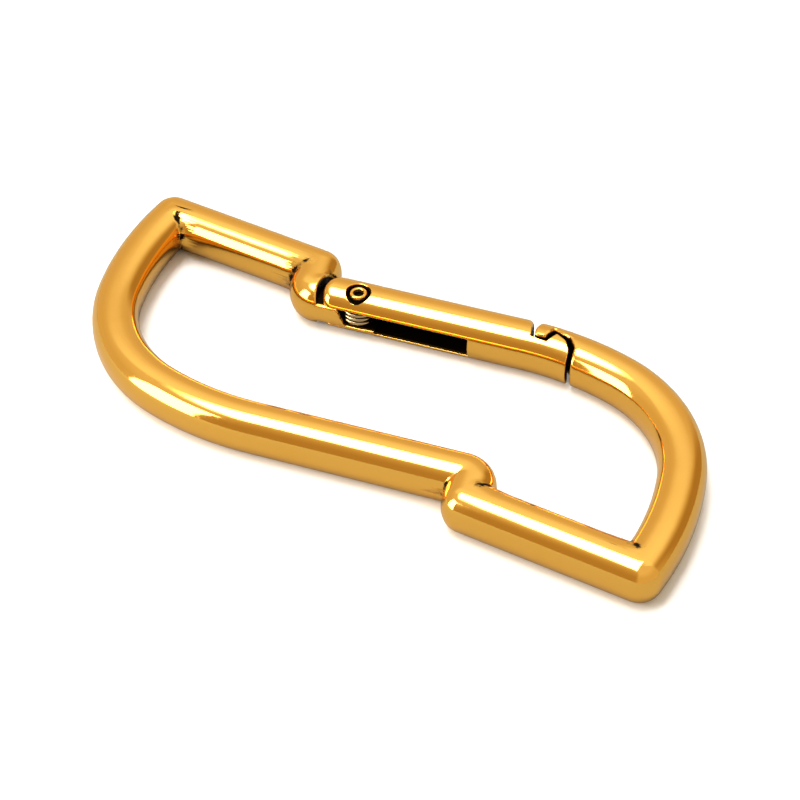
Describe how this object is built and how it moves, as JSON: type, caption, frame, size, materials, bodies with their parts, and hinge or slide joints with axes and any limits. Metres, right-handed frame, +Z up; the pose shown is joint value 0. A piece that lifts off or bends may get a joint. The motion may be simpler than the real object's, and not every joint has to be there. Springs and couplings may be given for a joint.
{
  "type": "snap hook",
  "caption": "S-shaped snap hook cast from a rounded square bar, with a riveted, spring-loaded gate that folds into the loop.",
  "frame": {"origin": "centre of the loop's outline, on the surface that the hook lies on", "axes": "+X along the hook's length and its two short straight bars, +Y across the loop towards the gate, +Z up through the loop"},
  "size_m": [0.0736, 0.0308, 0.0052],
  "materials": {
    "plated_body": "mirror-polished, gold-coloured PVD coating",
    "plated_rivet": "gold-coloured coating, set flush",
    "spring_wire": "bright drawn stainless wire"
  },
  "bodies": {
    "frame": {"frame": "plated_body", "torsion_spring": "spring_wire"},
    "gate": {"gate": "plated_body", "hinge_pin": "plated_rivet"}
  },
  "joints": [
    {"name": "gate_pivot", "type": "hinge", "parent": "frame", "child": "gate", "pos_m": [-0.00882, 0.00874, 0.0026], "axis": [0, 0, -1], "range_deg": [0, 40], "stiffness_Nm_per_rad": 0.0093, "springref_deg": -85.94, "deforming": ["torsion_spring"]}
  ]
}
